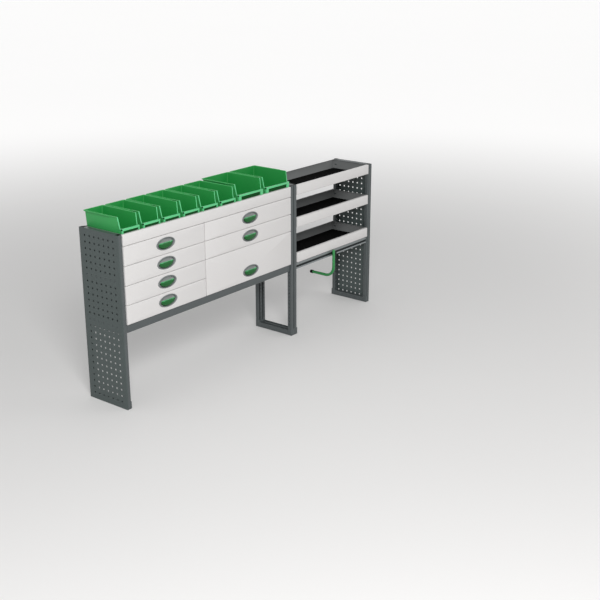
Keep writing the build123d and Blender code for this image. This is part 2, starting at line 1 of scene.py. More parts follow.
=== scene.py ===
import bmesh
import bpy
import math
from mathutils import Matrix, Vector


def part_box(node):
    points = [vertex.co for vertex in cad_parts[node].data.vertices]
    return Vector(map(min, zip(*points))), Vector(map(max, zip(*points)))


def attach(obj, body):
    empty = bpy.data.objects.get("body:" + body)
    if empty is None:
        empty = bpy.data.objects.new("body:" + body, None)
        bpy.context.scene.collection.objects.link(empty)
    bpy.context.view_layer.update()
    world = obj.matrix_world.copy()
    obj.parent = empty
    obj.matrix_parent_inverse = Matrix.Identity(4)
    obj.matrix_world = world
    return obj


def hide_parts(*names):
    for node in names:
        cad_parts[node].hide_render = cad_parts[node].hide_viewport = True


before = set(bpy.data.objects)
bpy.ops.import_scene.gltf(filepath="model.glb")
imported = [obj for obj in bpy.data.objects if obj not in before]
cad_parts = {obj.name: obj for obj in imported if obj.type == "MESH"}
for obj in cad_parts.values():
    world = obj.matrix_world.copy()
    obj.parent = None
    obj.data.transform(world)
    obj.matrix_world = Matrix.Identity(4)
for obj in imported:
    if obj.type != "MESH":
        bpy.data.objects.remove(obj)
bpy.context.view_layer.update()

# Upright posts of the four side frames: 2 mm cold-rolled steel strip, punched at 25 mm and
# roll-formed with a rebate beside the flat face and a lip that nearly closes the back. A black nylon
# plug closes the top. Dark grey polyester powder gives a satin skin with a fine orange-peel grain.
mm = 0.001
merge_gap = 0.01
point_gap = 0.001
post_width = 32.0
post_face = 22.0
post_rebate = 6.0
post_lip = 20.0
post_sheet = 2.0
post_bend = 1.0
bend_steps = 3
foot_height = 46.0
plug_depth = 12.0
plug_drop = 0.5
punch_pitch = 25.0
punch_rows = 38
punch_radius = 4.5
punch_inset = 13.0
punch_steps = 2
tie_bolt_level = 900.0
tie_bolt_row = 33
steel_patch = 260.0
steel_grain = 1.6
steel_relief = 0.05


def linear_colour(code):
    """An sRGB hex value as a linear colour."""
    channels = [int(code[start:start + 2], 16) / 255 for start in (1, 3, 5)]
    return [c / 12.92 if c <= 0.04045 else ((c + 0.055) / 1.055) ** 2.4 for c in channels] + [1]


def add(tree, kind, settings={}, values={}, links={}):
    """Adds one node, with its settings, the values of its sockets and the links into them."""
    made = tree.nodes.new(kind)
    for name, value in settings.items():
        setattr(made, name, value)
    for name, value in values.items():
        made.inputs[name].default_value = value
    for name, socket in links.items():
        tree.links.new(socket, made.inputs[name])
    return made


def finish(name, tones, patch, grain, relief, **values):
    """A material whose two tones drift over patches and whose skin has a grain, sizes in mm."""
    material = bpy.data.materials.new(name)
    material.use_nodes = True
    tree = material.node_tree
    tree.nodes.clear()
    place = add(tree, "ShaderNodeTexCoord").outputs["Object"]
    drift = add(tree, "ShaderNodeTexNoise", values={"Scale": 1 / (patch * mm), "Detail": 3},
                links={"Vector": place})
    tint = add(tree, "ShaderNodeMix", {"data_type": "RGBA"},
               {6: linear_colour(tones[0]), 7: linear_colour(tones[1])}, {0: drift.outputs[0]})
    skin = add(tree, "ShaderNodeTexNoise", values={"Scale": 1 / (grain * mm), "Detail": 2},
               links={"Vector": place})
    bump = add(tree, "ShaderNodeBump", values={"Strength": 1, "Distance": relief * mm},
               links={"Height": skin.outputs[0]})
    shader = add(tree, "ShaderNodeBsdfPrincipled", values=values,
                 links={"Base Color": tint.outputs[2], "Normal": bump.outputs[0]})
    add(tree, "ShaderNodeOutputMaterial", links={"Surface": shader.outputs[0]})
    return material


def span(name):
    """The lowest and highest corner of a CAD node, in mm."""
    low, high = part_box(name)
    return low / mm, high / mm


def bent_sheet(path, sheet, radius):
    """Pairs of face and back points along a folded section; the sheet lies left of its path."""
    points = [Vector(point) for point in path]
    pairs = []
    for index, point in enumerate(points):
        first = index == 0
        last = index == len(points) - 1
        before = (points[1] - point if first else point - points[index - 1]).normalized()
        after = before if last else (points[index + 1] - point).normalized()
        left = Vector((-before.y, before.x))
        if first or last:
            pairs.append((point, point + sheet * left))
            continue
        turn = math.atan2(before.x * after.y - before.y * after.x, before.dot(after))
        side = math.copysign(1, turn)
        bend = radius + sheet if side > 0 else radius
        centre = point - before * bend * math.tan(abs(turn) / 2) + side * bend * left
        for step in range(bend_steps + 1):
            arm = -side * left
            angle = turn * step / bend_steps
            cos, sin = math.cos(angle), math.sin(angle)
            arm = Vector((arm.x * cos - arm.y * sin, arm.x * sin + arm.y * cos))
            pairs.append((centre + bend * arm, centre + (bend - side * sheet) * arm))
    return pairs


def hole_edge(half_length, half_width, radius, steps):
    """A rounded hole's edge points, and the places in it of its four corners' middles."""
    points, middles = [], []
    for quarter, (along, across) in enumerate(((-1, -1), (1, -1), (1, 1), (-1, 1))):
        centre = Vector((along * (half_length - radius), across * (half_width - radius)))
        for step in range(-steps, steps + 1):
            turn = math.radians(225 + 90 * quarter + 45 * step / steps)
            point = centre + radius * Vector((math.cos(turn), math.sin(turn)))
            if step == 0:
                middles.append(len(points))
            if not points or (point - points[-1]).length > point_gap:
                points.append(point)
    if (points[-1] - points[0]).length < point_gap:
        points.pop()
    return points, middles


def run_sheet(bm, pairs, place, stations, holes={}, closed=True):
    """Runs a folded section through its stations. holes has, for a strip and a bay, how far along
    the strip a hole lies and its edge."""
    rows = [[[bm.verts.new(place(*point, station)) for point in pair] for pair in pairs]
            for station in stations]
    for bay in range(len(stations) - 1):
        low, high = rows[bay], rows[bay + 1]
        middle = (stations[bay] + stations[bay + 1]) / 2
        for strip in range(len(pairs) - 1):
            hole = holes.get((strip, bay))
            rims = []
            for side in (0, 1):
                corners = [low[strip][side], low[strip + 1][side],
                           high[strip + 1][side], high[strip][side]]
                if not hole:
                    bm.faces.new(corners)
                    continue
                along, (edge, middles) = hole
                start = pairs[strip][side]
                way = (pairs[strip + 1][side] - start).normalized()
                rim = [bm.verts.new(place(*(start + way * (along + s)), middle + w))
                       for s, w in edge]
                rims.append(rim)
                for corner in range(4):
                    first = middles[corner]
                    last = middles[corner + 1] if corner < 3 else len(rim) + middles[0]
                    arc = [rim[index % len(rim)] for index in range(last, first - 1, -1)]
                    bm.faces.new([corners[corner], corners[(corner + 1) % 4]] + arc)
            if hole:
                for index in range(len(rims[0])):
                    ahead = (index + 1) % len(rims[0])
                    bm.faces.new((rims[0][index], rims[0][ahead], rims[1][ahead], rims[1][index]))
        for pair in (0, -1):
            bm.faces.new((low[pair][0], low[pair][1], high[pair][1], high[pair][0]))
    for row in (rows[0], rows[-1]) if closed else ():
        for strip in range(len(pairs) - 1):
            bm.faces.new((row[strip][0], row[strip + 1][0], row[strip + 1][1], row[strip][1]))


def repeat_tree():
    """Geometry Nodes that repeat the modified mesh in columns and rows."""
    tree = bpy.data.node_groups.new("Repeat in columns and rows", "GeometryNodeTree")
    tree.is_modifier = True
    for name, kind in (("Geometry", "Geometry"), ("Columns", "Int"), ("Rows", "Int"),
                       ("Column step", "Vector"), ("Row step", "Vector"),
                       ("Material", "Material")):
        tree.interface.new_socket(name, in_out="INPUT", socket_type="NodeSocket" + kind)
    tree.interface.new_socket("Geometry", in_out="OUTPUT", socket_type="NodeSocketGeometry")
    given = add(tree, "NodeGroupInput").outputs
    columns = add(tree, "GeometryNodeMeshLine", {"mode": "OFFSET"},
                  links={"Count": given["Columns"], "Offset": given["Column step"]})
    rows = add(tree, "GeometryNodeMeshLine", {"mode": "OFFSET"},
               links={"Count": given["Rows"], "Offset": given["Row step"]})
    grid = add(tree, "GeometryNodeInstanceOnPoints",
               links={"Points": columns.outputs[0], "Instance": rows.outputs[0]})
    points = add(tree, "GeometryNodeRealizeInstances", links={"Geometry": grid.outputs[0]})
    copies = add(tree, "GeometryNodeInstanceOnPoints",
                 links={"Points": points.outputs[0], "Instance": given["Geometry"]})
    real = add(tree, "GeometryNodeRealizeInstances", links={"Geometry": copies.outputs[0]})
    painted = add(tree, "GeometryNodeSetMaterial",
                  links={"Geometry": real.outputs[0], "Material": given["Material"]})
    add(tree, "NodeGroupOutput", links={"Geometry": painted.outputs[0]})
    return tree


repeater = repeat_tree()


def repeat(cell, columns, rows, column_step, row_step, material):
    """A mesh of the cell in columns and rows; the steps are in mm."""
    cell.materials.append(material)
    holder = bpy.data.objects.new("Repeated cell", cell)
    bpy.context.scene.collection.objects.link(holder)
    modifier = holder.modifiers.new("Repeat", "NODES")
    modifier.node_group = repeater
    given = {"Columns": columns, "Rows": rows, "Column step": [mm * step for step in column_step],
             "Row step": [mm * step for step in row_step], "Material": material}
    for item in repeater.interface.items_tree:
        if item.in_out == "INPUT" and item.name in given:
            modifier[item.identifier] = given[item.name]
    evaluated = holder.evaluated_get(bpy.context.evaluated_depsgraph_get())
    mesh = bpy.data.meshes.new_from_object(evaluated)
    bpy.data.objects.remove(holder)
    return mesh


def mesh_of(bm, name):
    """Makes a mesh of what bm holds and frees it."""
    mesh = bpy.data.meshes.new(name)
    bm.to_mesh(mesh)
    bm.free()
    return mesh


def show(name, bm, materials, body, nodes=(), crease=35.0):
    """Shows what bm holds as one piece, with its materials and body, and hides the CAD nodes it
    replaces.
    """
    bmesh.ops.remove_doubles(bm, verts=bm.verts, dist=merge_gap * mm)
    bmesh.ops.recalc_face_normals(bm, faces=bm.faces)
    mesh = mesh_of(bm, name)
    mesh.shade_smooth()
    mesh.set_sharp_from_angle(angle=math.radians(crease))
    for material in materials:
        mesh.materials.append(material)
    piece = bpy.data.objects.new(name, mesh)
    bpy.context.scene.collection.objects.link(piece)
    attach(piece, body)
    if nodes:
        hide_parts(*nodes)


def loft(bm, rings, closed=False, accents={}):
    """Joins rings that have the same number of points, in mm; open ends get caps. accents gives the
    number of a band's material, and under the last ring's number that of the far cap."""
    made = [[bm.verts.new(mm * Vector(point)) for point in ring] for ring in rings]
    for band, (one, other) in enumerate(zip(made, made[1:] + (made[:1] if closed else []))):
        for index in range(len(one)):
            ahead = (index + 1) % len(one)
            face = bm.faces.new((one[index], one[ahead], other[ahead], other[index]))
            face.material_index = accents.get(band, 0)
    if not closed:
        bm.faces.new(reversed(made[0]))
        bm.faces.new(made[-1]).material_index = accents.get(len(rings) - 1, 0)


steel = finish("Powder-coated steel, dark grey", ("#555b5c", "#4d5354"), steel_patch, steel_grain,
               steel_relief, Roughness=0.42)
plug_nylon = finish("Moulded nylon plug, black", ("#0c0c0c", "#070707"), 30.0, 0.8, 0.03,
                    Roughness=0.6, **{"Specular IOR Level": 0.15})
section = bent_sheet(
    [(0, post_width), (0, 0), (post_face, 0), (post_face, post_rebate),
     (post_width, post_rebate), (post_width, post_width), (post_width - post_lip, post_width)],
    post_sheet, post_bend,
)
near_flange = 0
web = bend_steps + 1
far_lip = len(section) - 2
lip_run = post_lip - post_sheet - post_bend
post_height = span("left_frame")[1].z
punch_start = tie_bolt_level - (tie_bolt_row + 0.5) * punch_pitch
punched = hole_edge(punch_radius, punch_radius, punch_radius, punch_steps)


def upright(x, y, z):
    """A section that is drawn in plan and runs upwards."""
    return mm * Vector((x, y, z))


def post(holes, bolted=False):
    """One post with the holes of its strips, as a mesh in its own corner."""
    runs = [(0, punch_rows, holes)]
    if bolted:
        bolt_hole = {(web, 0): ((post_face - 2 * (post_sheet + post_bend)) / 2, punched)}
        runs = [(0, tie_bolt_row, holes), (tie_bolt_row, 1, holes | bolt_hole),
                (tie_bolt_row + 1, punch_rows - tie_bolt_row - 1, holes)]
    whole = bmesh.new()
    for first, count, pierced in runs:
        cell = bmesh.new()
        base = punch_start + first * punch_pitch
        run_sheet(cell, section, upright, (base, base + punch_pitch), pierced, closed=False)
        whole.from_mesh(repeat(mesh_of(cell, "Post cell"), 1, count, (0, 0, 0),
                               (0, 0, punch_pitch), steel))
    punch_end = punch_start + punch_rows * punch_pitch
    run_sheet(whole, section, upright, (foot_height, punch_start), closed=False)
    run_sheet(whole, section, upright, (punch_end, post_height), closed=False)
    bmesh.ops.remove_doubles(whole, verts=whole.verts, dist=merge_gap * mm)
    bmesh.ops.holes_fill(whole, edges=[edge for edge in whole.edges if edge.is_boundary], sides=0)
    near, far = post_sheet, post_width - post_sheet
    plug = [(near, far), (near, near), (post_face - near, near),
            (post_face - near, near + post_rebate), (far, near + post_rebate), (far, far)]
    plug_top = post_height - plug_drop
    loft(whole, [[(x, y, z) for x, y in plug] for z in (plug_top - plug_depth, plug_top)],
         accents={0: 1, 1: 1})
    return mesh_of(whole, "Post")


front_post = post({(near_flange, 0): (punch_inset, punched)})
rear_post = post({(far_lip, 0): (lip_run / 2, punched)}, bolted=True)
side_frames = {"left_frame": 1, "left_centre_frame": 1, "right_centre_frame": 1, "right_frame": -1}
for name, side in side_frames.items():
    low, high = span(name)
    posts = bmesh.new()
    for mesh, y, facing in ((front_post, low.y, 1), (rear_post, high.y, -1)):
        before = len(posts.verts)
        posts.from_mesh(mesh)
        posts.verts.ensure_lookup_table()
        fresh = posts.verts[before:]
        bmesh.ops.scale(posts, verts=fresh, vec=(side, facing, 1))
        x = low.x if side > 0 else high.x
        bmesh.ops.translate(posts, verts=fresh, vec=(mm * x, mm * y, 0))
    show(f"{name}_posts", posts, [steel, plug_nylon], "rack", [name])

# Feet, sills and ties of the side frames. A foot is a cast shoe that fills the post's rebate, the
# sill between two feet is a folded channel, and the ties higher up are welded square tubes. They
# have the posts' powder coat.
sill_height = 35.0
tie_spans = ((455.0, 503.0), (735.0, 765.0), (1000.0, 1030.0))
foot_edge = 2.5
tie_edge = 2.0
edge_steps = 3


def soft_block(bm, low, high, edge, coat=0):
    """A block with rounded edges, between two corners in mm; coat is its material's number."""
    box = bmesh.new()
    bmesh.ops.create_cube(box, size=1)
    for vert in box.verts:
        vert.co = mm * Vector([a + (c + 0.5) * (b - a) for a, b, c in zip(low, high, vert.co)])
    bmesh.ops.bevel(box, geom=box.edges[:], offset=mm * edge, segments=edge_steps, profile=0.5,
                    affect="EDGES")
    for face in box.faces:
        face.material_index = coat
    bm.from_mesh(mesh_of(box, "Block"))


for name in side_frames:
    low, high = span(name)
    base = bmesh.new()
    inner_front, inner_back = low.y + post_width, high.y - post_width
    for y in (low.y, inner_back):
        soft_block(base, (low.x, y, 0), (high.x, y + post_width, foot_height), foot_edge)
    sill = bent_sheet([(low.x, sill_height), (low.x, 0), (high.x, 0), (high.x, sill_height)],
                      post_sheet, post_bend)
    run_sheet(base, sill, lambda x, z, y: mm * Vector((x, y, z)), (inner_front, inner_back))
    for bottom, top in tie_spans:
        soft_block(base, (low.x, inner_front, bottom), (high.x, inner_back, top), tie_edge)
    show(f"{name}_feet_and_ties", base, [steel], "rack")

# Side panels on the two end frames: 1.5 mm steel sheet, punched with 10 mm square holes on a
# 38 mm pitch for hooks, and folded round the posts at the front and the back. The powder coat is
# a shade darker and greener than the posts', and as satin.
panel_sheet = 1.5
panel_bend = 0.8
panel_pitch = 38.0
panel_hole = 10.0
panel_corner = 1.5
panel_columns = 7
panel_rows = 26
panel_steel = finish("Powder-coated sheet steel, mid grey", ("#4b5554", "#454f4e"), steel_patch,
                     steel_grain, steel_relief, Roughness=0.45)
square = hole_edge(panel_hole / 2, panel_hole / 2, panel_corner, 1)
for name, inward in (("left_side_panel", 1), ("right_side_panel", -1)):
    low, high = span(name)
    x_face = low.x if inward > 0 else high.x
    x_fold = high.x if inward > 0 else low.x
    y_first = -panel_columns * panel_pitch / 2
    z_first = (high.z - panel_rows * panel_pitch) / 2

    def panel_place(y, x, z, x_face=x_face, inward=inward):
        return mm * Vector((x_face + inward * x, y, z))

    cell = bmesh.new()
    run_sheet(cell, [(Vector((0, 0)), Vector((0, panel_sheet))),
                     (Vector((panel_pitch, 0)), Vector((panel_pitch, panel_sheet)))],
              panel_place, (0, panel_pitch), {(0, 0): (panel_pitch / 2, square)}, closed=False)
    walls = [face for face in cell.faces
             if len(face.verts) == 4
             and abs(face.calc_center_median().y / mm % panel_pitch) < point_gap]
    bmesh.ops.delete(cell, geom=walls, context="FACES_ONLY")
    field = repeat(mesh_of(cell, "Panel cell"), panel_columns, panel_rows,
                   (0, panel_pitch, 0), (0, 0, panel_pitch), panel_steel)
    panel = bmesh.new()
    panel.from_mesh(field)
    bmesh.ops.translate(panel, verts=panel.verts, vec=(0, mm * y_first, mm * z_first))
    depth = abs(x_fold - x_face)
    for side in (-1, 1):
        edge_y = low.y if side < 0 else high.y
        path = [(edge_y, depth), (edge_y, 0), (side * -y_first, 0)]
        if side > 0:
            path.reverse()
        fold = bent_sheet(path, panel_sheet, panel_bend)
        rows = [z_first + row * panel_pitch for row in range(panel_rows + 1)]
        run_sheet(panel, fold, panel_place, [0] + rows + [high.z])
    for bottom, top in ((0, z_first), (high.z - z_first, high.z)):
        columns = [y_first + column * panel_pitch for column in range(panel_columns + 1)]
        strip = [(Vector((y, 0)), Vector((y, panel_sheet))) for y in columns]
        run_sheet(panel, strip, panel_place, (bottom, top))
    bmesh.ops.remove_doubles(panel, verts=panel.verts, dist=merge_gap * mm)
    inner = [face for face in panel.faces if not all(edge.is_manifold for edge in face.edges)
             and abs(face.normal.x) < 0.5]
    bmesh.ops.delete(panel, geom=inner, context="FACES_ONLY")
    show(name, panel, [panel_steel], "rack", [name])

# Rails along the front and the back. The drawer unit's front rail and both rear rails are folded
# channels of 2 mm steel. The shelf unit's front rail is an aluminium extrusion with a crowned band
# above a T-slot for hooks. Its coat is paler and glossier. The slot and the recess above the crown
# are painted a dull dark grey, as painted shade.
rail_sheet = 2.0
rail_bend = 1.5


def lengthwise(y, z, x):
    """A section that is drawn from the side and runs along the rack."""
    return mm * Vector((x, y, z))


low, high = span("left_front_rail")
rail = bmesh.new()
channel = bent_sheet([(high.y, high.z), (low.y, high.z), (low.y, low.z), (high.y, low.z)],
                     rail_sheet, rail_bend)
run_sheet(rail, channel, lengthwise, (low.x, high.x))
show("left_front_rail", rail, [steel], "rack", ["left_front_rail"])

rear_low, rear_high = span("rear_rails")
rails = bmesh.new()
channel = bent_sheet([(rear_low.y, rear_low.z), (rear_high.y, rear_low.z),
                      (rear_high.y, rear_high.z), (rear_low.y, rear_high.z)],
                     rail_sheet, rail_bend)
shelf_low, shelf_high = span("hook_rail")
for x0, x1 in ((low.x, high.x), (shelf_low.x, shelf_high.x)):
    run_sheet(rails, channel, lengthwise, (x0, x1))
show("rear_rails", rails, [steel], "rack", ["rear_rails"])

rail_coat = finish("Powder-coated aluminium, grey", ("#868c8d", "#7e8485"), steel_patch, steel_grain,
                   0.02, Roughness=0.24)
slot_shade = finish("Aluminium slot, painted shade", ("#34383a", "#2d3132"), 60.0, steel_grain,
                    steel_relief, Roughness=0.7, **{"Specular IOR Level": 0.2})
slot_opening = 14.0
slot_drop = 31.0
slot_cavity = 22.0
slot_depth = 7.0
slot_lip = 3.0
rail_chamfer = 1.0
rail_skirt = 4.0
rail_tilt = 2.0
crown_steps = 8
crown_drop = 4.0
shade_start = 1.5
shade_margin = 1.0
low, high = shelf_low, shelf_high
slot_middle = high.z - slot_drop
slot_bottom = slot_middle - slot_opening / 2
slot_top = slot_middle + slot_opening / 2
crown_top = high.z - crown_drop
crown_middle = (slot_top + crown_top) / 2
crown_half = (crown_top - slot_top) / 2
outline = [
    (high.y, low.z),
    (low.y + rail_chamfer, low.z),
    (low.y, low.z + rail_chamfer),
    (low.y, low.z + rail_skirt),
    (low.y + rail_tilt, slot_bottom),
    (low.y + slot_lip, slot_bottom),
    (low.y + slot_lip, slot_middle - slot_cavity / 2),
    (low.y + slot_lip + slot_depth, slot_middle - slot_cavity / 2),
    (low.y + slot_lip + slot_depth, slot_middle + slot_cavity / 2),
    (low.y + slot_lip, slot_middle + slot_cavity / 2),
]
for step in range(crown_steps + 1):
    lean = math.pi * (step / crown_steps - 0.5)
    outline.append((low.y + slot_lip * (1 - math.cos(lean)),
                    crown_middle + crown_half * math.sin(lean)))
outline += [(low.y + slot_depth, crown_top), (low.y + slot_depth, high.z), (high.y, high.z)]
rail = bmesh.new()
loft(rail, [[(x, y, z) for y, z in outline] for x in (low.x, high.x)])
# Faces sunk in the slot and in the recess above the crown take the dark grey: painted shade.
for face in rail.faces:
    middle = face.calc_center_median() / mm
    in_slot = abs(middle.z - slot_middle) < slot_cavity / 2 + shade_margin
    above_crown = middle.z > crown_top - shade_margin
    sunk = low.y + shade_start < middle.y < low.y + slot_lip + slot_depth + shade_margin
    face.material_index = int(sunk and (in_slot or above_crown))
show("hook_rail", rail, [rail_coat, slot_shade], "rack", ["hook_rail"])

# The drawer cabinet is a shell of 1.5 mm steel with a divider, and its runners are zinc-plated.
# Their CAD solids show as they are, in a light grey powder coat and in bright zinc.
cabinet_steel = finish("Powder-coated sheet steel, light grey", ("#8a8d8e", "#828586"), 300.0,
                       steel_grain, steel_relief, Roughness=0.4)
zinc = finish("Zinc-plated steel", ("#b9bcbe", "#a5a9ac"), 35.0, 0.8, 0.02, Roughness=0.32,
              Metallic=1.0)


def dress(name, material):
    """Gives a CAD node that shows as it is its material."""
    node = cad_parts[name]
    node.data.materials.clear()
    node.data.materials.append(material)


dress("drawer_cabinet", cabinet_steel)
dress("cabinet_runners", zinc)
drawer_count = 7
for number in range(1, drawer_count + 1):
    dress(f"drawer_{number}_box", cabinet_steel)

# Drawer fronts: pans of 1.5 mm steel with rounded edges, returned behind so that the box bolts on,
# and cut with an oval for the handle. The coat is a white polyester powder with a satin skin.
white = finish("Powder-coated sheet steel, white", ("#e2e0df", "#dbd9d8"), 420.0, steel_grain, 0.03,
               Roughness=0.38)
front_sheet = 1.5
front_edge = 2.2
front_corner = 2.6
front_return = 18.0
least_corner = 0.1
oval_points = 64
cut_half_width = 68.4
cut_half_height = 34.4
handle_rise = 60.5


def oval(half_width, half_height, x, z, y):
    """An oval ring that faces the front, from its lower left round."""
    ring = []
    for index in range(oval_points):
        turn = math.radians(225) + math.tau * index / oval_points
        ring.append((x + half_width * math.cos(turn), y, z + half_height * math.sin(turn)))
    return ring


def frame_ring(x0, x1, z0, z1, y, inset, corner):
    """A rounded oblong ring with as many points as an oval, from its lower left corner round."""
    radius = max(corner - inset, least_corner)
    points, middles = hole_edge((x1 - x0) / 2 - inset, (z1 - z0) / 2 - inset, radius, 1)
    centre = Vector(((x0 + x1) / 2, (z0 + z1) / 2))
    spare = (oval_points - len(points)) // 4
    ring = []
    for quarter in range(4):
        corner_points = points[3 * quarter:3 * quarter + 3]
        ahead = points[(3 * quarter + 3) % len(points)]
        ring += corner_points
        ring += [corner_points[-1].lerp(ahead, (k + 1) / (spare + 1)) for k in range(spare)]
    ring = ring[1:] + ring[:1]
    return [(centre.x + s, y, centre.y + w) for s, w in ring]


def folded_front(bm, x0, x1, z0, z1, y0, y1, sheet, edge, corner, handle=None, inturn=0):
    """A front with its four sides folded back; with a handle's place it has the oval and inturns."""
    def ring(inset, y):
        return frame_ring(x0, x1, z0, z1, y, inset, corner)

    rings = []
    for step in range(edge_steps + 1):
        lean = math.pi / 2 * (1 - step / edge_steps)
        rings.append(ring(edge * (1 - math.cos(lean)), y0 + edge * (1 - math.sin(lean))))
    rings.append(ring(0, y1))
    if handle:
        rings += [ring(inturn, y1), ring(inturn, y1 - sheet), ring(sheet, y1 - sheet),
                  ring(sheet, y0 + sheet)]
        rings += [oval(cut_half_width, cut_half_height, *handle, y) for y in (y0 + sheet, y0)]
        loft(bm, rings, closed=True)
    else:
        rings += [ring(sheet, y1), ring(sheet, y0 + sheet)]
        loft(bm, rings)


handles = {}
for number in range(1, drawer_count + 1):
    name = f"drawer_{number}_front"
    low, high = span(name)
    handles[number] = ((low.x + high.x) / 2, low.z + handle_rise)
    front = bmesh.new()
    folded_front(front, low.x, high.x, low.z, high.z, low.y, high.y, front_sheet, front_edge,
                 front_corner, handles[number], front_return)
    show(name, front, [white], f"drawer_{number}", [name])

# Drawer handles: an oval cup of satin grey moulded nylon let into the front, with a darker rim, and
# a bulging green lever in its lower part that is pulled to unlatch. The cup is painted paler than the
# rim, as painted light that lifts the shade in it. The lever is a polished ABS, and a band along its
# top edge is painted a paler green as a painted highlight.
nylon = finish("Moulded nylon, painted light in the cup", ("#b4b7b7", "#acafaf"), 40.0, 0.7, 0.02, Roughness=0.4)
rim_nylon = finish("Moulded nylon rim, grey", ("#7f8484", "#777c7c"), 40.0, 0.7, 0.02, Roughness=0.35)
green_abs = finish("Polished ABS, green", ("#136329", "#0f5a24"), 60.0, 2.5, 0.01, Roughness=0.2,
                   **{"Specular IOR Level": 0.3})
highlight_abs = finish("Polished ABS, painted highlight", ("#44a566", "#3d9c5e"), 60.0, 2.5, 0.01,
                  Roughness=0.2)
# Each ring of the cup, from its floor over the rim to its back: half width, half height and depth.
bezel_rings = (
    (60.0, 27.0, 17.0),
    (63.5, 29.8, 15.8),
    (65.0, 31.0, 13.0),
    (66.0, 31.8, 0.5),
    (66.8, 32.4, -1.2),
    (68.2, 33.2, -2.4),
    (70.2, 34.2, -3.0),
    (72.0, 35.2, -2.9),
    (73.6, 36.4, -2.0),
    (74.5, 37.0, 0.0),
    (68.0, 34.0, 0.0),
    (68.0, 34.0, 19.0),
    (58.0, 25.0, 19.0),
)
rim_bands = range(2, 10)
grip_half_width = 55.0
grip_half_height = 28.5
grip_top = 9.5
grip_highlight_band = 5.0
grip_bulge = 7.2
grip_skew = 0.8
grip_lean = 3.0
grip_stand = 0.4
grip_heel = 0.6
grip_back = 4.0
grip_end = 0.995
grip_slices = 28
grip_front_steps = 10
grip_back_steps = 3


def grip_slice(share, x, z, y):
    """The lever's section at a share of its half width from the middle."""
    swell = math.sqrt(max(1 - share * share, 0))
    foot = -grip_half_height * swell
    top = min(grip_top, grip_half_height * swell)
    points = []
    for step in range(grip_front_steps + 1):
        rise = step / grip_front_steps
        belly = math.sin(math.pi * rise ** grip_skew) * grip_bulge + rise * grip_lean
        points.append((x, y - belly * swell - grip_stand, z + foot + rise * (top - foot)))
    for step in range(1, grip_back_steps + 1):
        drop = step / grip_back_steps
        points.append((x, y + grip_heel + drop * grip_back, z + top + drop * (foot - top)))
    return points


for number, (x, z) in handles.items():
    y = span(f"drawer_{number}_front")[0].y
    bezel = bmesh.new()
    # The cup's bands take the pale nylon, painted light against the shade in the cup; the rim bands
    # take the darker nylon.
    loft(bezel, [oval(a, b, x, z, y + depth) for a, b, depth in bezel_rings],
         accents=dict.fromkeys(rim_bands, 1))
    show(f"drawer_{number}_bezel", bezel, [nylon, rim_nylon], f"drawer_{number}",
         [f"drawer_{number}_bezel"])
    grip = bmesh.new()
    slices = []
    for index in range(grip_slices + 1):
        share = -grip_end * math.cos(math.pi * index / grip_slices)
        slices.append(grip_slice(share, x + share * grip_half_width, z, y))
    loft(grip, slices)
    # Faces near the lever's top take the pale green: a painted highlight.
    for face in grip.faces:
        height = face.calc_center_median().z / mm - z
        face.material_index = int(height > grip_top - grip_highlight_band)
    show(f"drawer_{number}_grip", grip, [green_abs, highlight_abs], f"grip_{number}",
         [f"drawer_{number}_grip"], crease=50.0)

# Trays under the bins and on the shelves: 1.5 mm steel, folded up at the front and the back and
# closed by side walls with hemmed tops, each with a slot near the back. They carry folded white
# lips with well-rounded edges.
tray_sheet = 1.5
tray_bend = 1.0
tray_hem = 8.0
slot_half_length = 10.0
slot_half_width = 4.0
slot_inset = 24.0
slot_margin = 15.0
lip_edge = 3.0
lip_corner = 3.4
tray_steel = finish("Powder-coated sheet steel, tray grey", ("#8a8c8c", "#828484"), 300.0,
                    steel_grain, steel_relief, Roughness=0.4)
tray_slot = hole_edge(slot_half_width, slot_half_length, slot_half_width, 2)
lips = {"bin_tray": "bin_tray_fascia", "lower_shelf_tray": "lower_shelf_lip",
        "middle_shelf_tray": "middle_shelf_lip", "top_shelf_tray": "top_shelf_lip"}
for name, lip_name in lips.items():
    low, high = span(name)
    tray = bmesh.new()
    pan = bent_sheet([(low.y, high.z), (low.y, low.z), (high.y, low.z), (high.y, high.z),
                      (high.y - tray_hem, high.z)], tray_sheet, tray_bend)
    run_sheet(tray, pan, lengthwise, (low.x + tray_sheet, high.x - tray_sheet))
    wall = bent_sheet([(tray_hem, high.z), (0, high.z), (0, low.z)], tray_sheet, tray_bend)
    y_slot = high.y - slot_inset
    wall_strip = len(wall) - 2
    wall_run = wall[wall_strip][0].y - low.z
    for start, way in ((low.x, 1), (high.x, -1)):
        run_sheet(tray, wall, lambda x, z, y: mm * Vector((start + way * x, y, z)),
                  (low.y, y_slot - slot_margin, y_slot + slot_margin, high.y),
                  {(wall_strip, 1): (wall_run / 2, tray_slot)})
    show(name, tray, [tray_steel], "rack", [name])
    low, high = span(lip_name)
    lip = bmesh.new()
    folded_front(lip, low.x, high.x, low.z, high.z, low.y, high.y, tray_sheet, lip_edge, lip_corner)
    show(lip_name, lip, [white], "rack", [lip_name])

